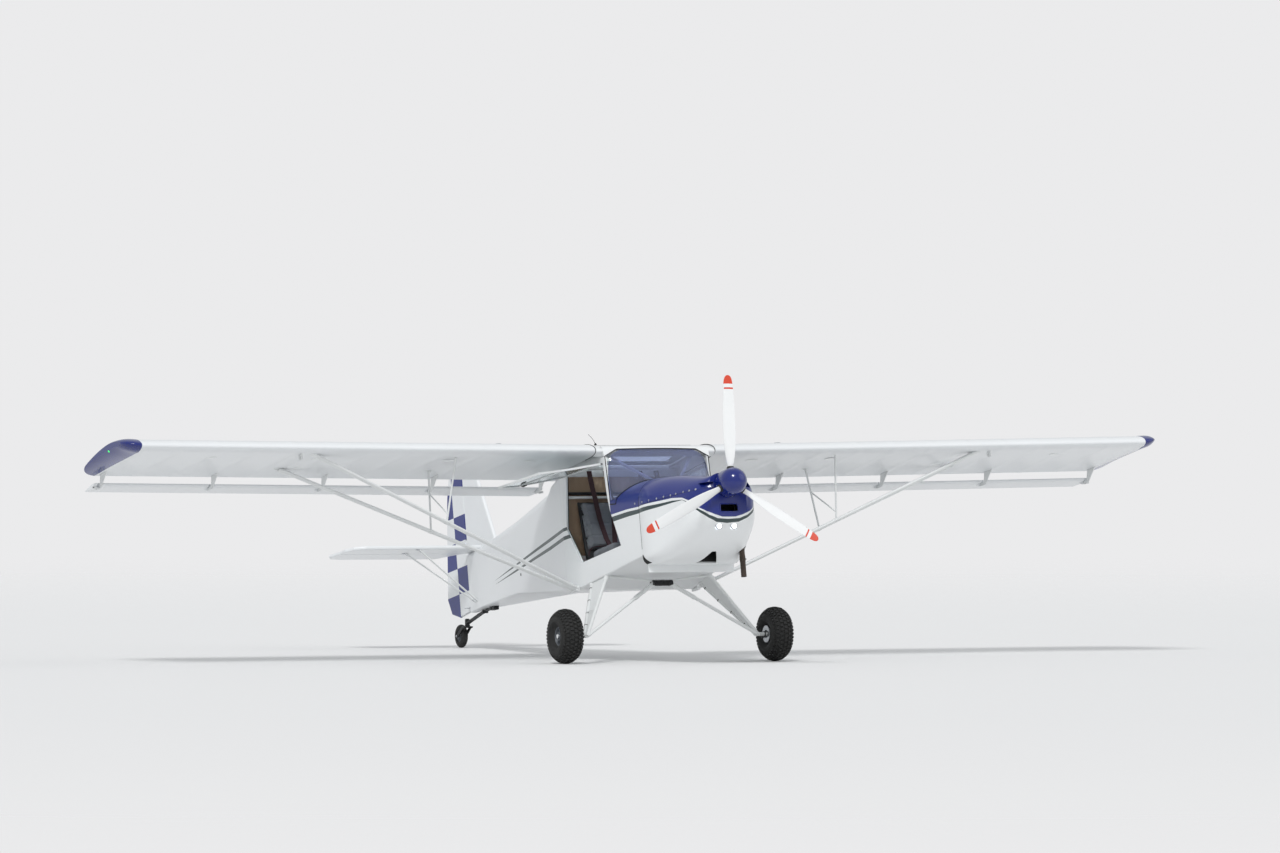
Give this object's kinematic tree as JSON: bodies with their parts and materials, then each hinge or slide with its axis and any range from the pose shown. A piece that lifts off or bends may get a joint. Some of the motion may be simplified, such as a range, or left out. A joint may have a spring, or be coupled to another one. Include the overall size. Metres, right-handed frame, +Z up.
{
  "type": "microlight aircraft",
  "caption": "Strut-braced high-wing two-seat microlight with a tractor propeller, flaperons and a steerable tailwheel, parked with a door open.",
  "frame": {"origin": "on the ground under the middle of the aircraft's length and span, as it stands parked", "axes": "+X to port (the aircraft's left) along the span, +Y aft, +Z up; the nose points to -Y"},
  "size_m": [9.3802, 5.86, 2.366],
  "materials": {
    "white_paint": "gloss",
    "white_fabric": "painted fabric, satin",
    "navy_paint": "gloss",
    "engine_casting": "rough",
    "exhaust_steel": "scorched",
    "lamp": "clear lens",
    "clear_sheet": "polished clear sheet",
    "steel_tube": "satin",
    "black_plastic": "matt",
    "grey_cloth": "woven",
    "bare_aluminium": "satin",
    "black_rubber": "matt",
    "dark_steel": "satin",
    "white_gloss": "gloss",
    "tyre": "matt"
  },
  "bodies": {
    "airframe": {"cabin_tub": "white_paint", "rear_fuselage": "white_fabric", "boot_cowl": "navy_paint", "cowl_upper": "navy_paint", "cowl_lower": "white_paint", "engine": "engine_casting", "exhaust_pipe": "exhaust_steel", "landing_lights": "lamp", "windscreen": "clear_sheet", "roof_fairing": "white_paint", "skylight": "clear_sheet", "cabin_frame": "steel_tube", "instrument_panel": "black_plastic", "seats": "grey_cloth", "control_sticks": "black_plastic", "wing_left": "white_fabric", "wing_right": "white_fabric", "wing_tips": "navy_paint", "flaperon_hangers": "white_paint", "lift_struts": "white_paint", "jury_struts": "white_paint", "tie_down_rings": "bare_aluminium", "gear_legs": "white_paint", "shock_struts": "white_paint", "gear_cabane": "black_rubber", "fin": "white_fabric", "stabiliser": "white_fabric", "tail_braces": "white_paint", "tail_spring": "dark_steel"},
    "propeller": {"spinner": "navy_paint", "propeller_blades": "white_gloss"},
    "wheel_left": {"tyre_left": "tyre", "wheel_rim_left": "bare_aluminium"},
    "wheel_right": {"tyre_right": "tyre", "wheel_rim_right": "bare_aluminium"},
    "tail_swivel": {"tail_fork": "dark_steel"},
    "tail_wheel": {"tail_wheel": "black_rubber"},
    "rudder": {"rudder": "white_fabric"},
    "elevator": {"elevator": "white_fabric"},
    "flaperon_left": {"flaperon_left": "white_fabric"},
    "flaperon_right": {"flaperon_right": "white_fabric"},
    "door_left": {"door_frame_left": "white_paint", "door_glass_left": "clear_sheet"},
    "door_right": {"door_frame_right": "white_paint", "door_glass_right": "clear_sheet"}
  },
  "joints": [
    {"name": "propeller_spin", "type": "hinge", "parent": "airframe", "child": "propeller", "pos_m": [0, -2.76913, 1.49779], "axis": [0, -0.9816, 0.1908], "continuous": true},
    {"name": "wheel_left_spin", "type": "hinge", "parent": "airframe", "child": "wheel_left", "pos_m": [0.948, -1.60865, 0.225], "axis": [1, 0, 0], "continuous": true},
    {"name": "wheel_right_spin", "type": "hinge", "parent": "airframe", "child": "wheel_right", "pos_m": [-0.948, -1.60865, 0.225], "axis": [1, 0, 0], "continuous": true},
    {"name": "tail_steer", "type": "hinge", "parent": "airframe", "child": "tail_swivel", "pos_m": [0, 2.51865, 0.203], "axis": [0, 0, 1], "range_deg": [-30, 30]},
    {"name": "tail_wheel_spin", "type": "hinge", "parent": "tail_swivel", "child": "tail_wheel", "pos_m": [0, 2.64565, 0.1], "axis": [1, 0, 0], "continuous": true},
    {"name": "rudder_turn", "type": "hinge", "parent": "airframe", "child": "rudder", "pos_m": [0, 2.51803, 0.92144], "axis": [0, 0.1908, 0.9816], "range_deg": [-25, 25]},
    {"name": "elevator_turn", "type": "hinge", "parent": "airframe", "child": "elevator", "pos_m": [0, 2.44736, 0.82515], "axis": [1, 0, 0], "range_deg": [-25, 25]},
    {"name": "flaperon_left_turn", "type": "hinge", "parent": "airframe", "child": "flaperon_left", "pos_m": [2.5, -0.21797, 1.40298], "axis": [0.9999, 0.0027, 0.0139], "range_deg": [-25, 20]},
    {"name": "flaperon_right_turn", "type": "hinge", "parent": "airframe", "child": "flaperon_right", "pos_m": [-2.5, -0.21797, 1.40298], "axis": [0.9999, -0.0027, -0.0139], "range_deg": [-25, 20]},
    {"name": "door_left_swing", "type": "hinge", "parent": "airframe", "child": "door_left", "pos_m": [0.51067, -1.00829, 1.58748], "axis": [-0.0956, -0.9771, 0.1899], "range_deg": [0, 80]},
    {"name": "door_right_swing", "type": "hinge", "parent": "airframe", "child": "door_right", "pos_m": [-0.51067, -1.00829, 1.58748], "axis": [-0.0956, 0.9771, -0.1899], "range_deg": [-80, 0]}
  ]
}
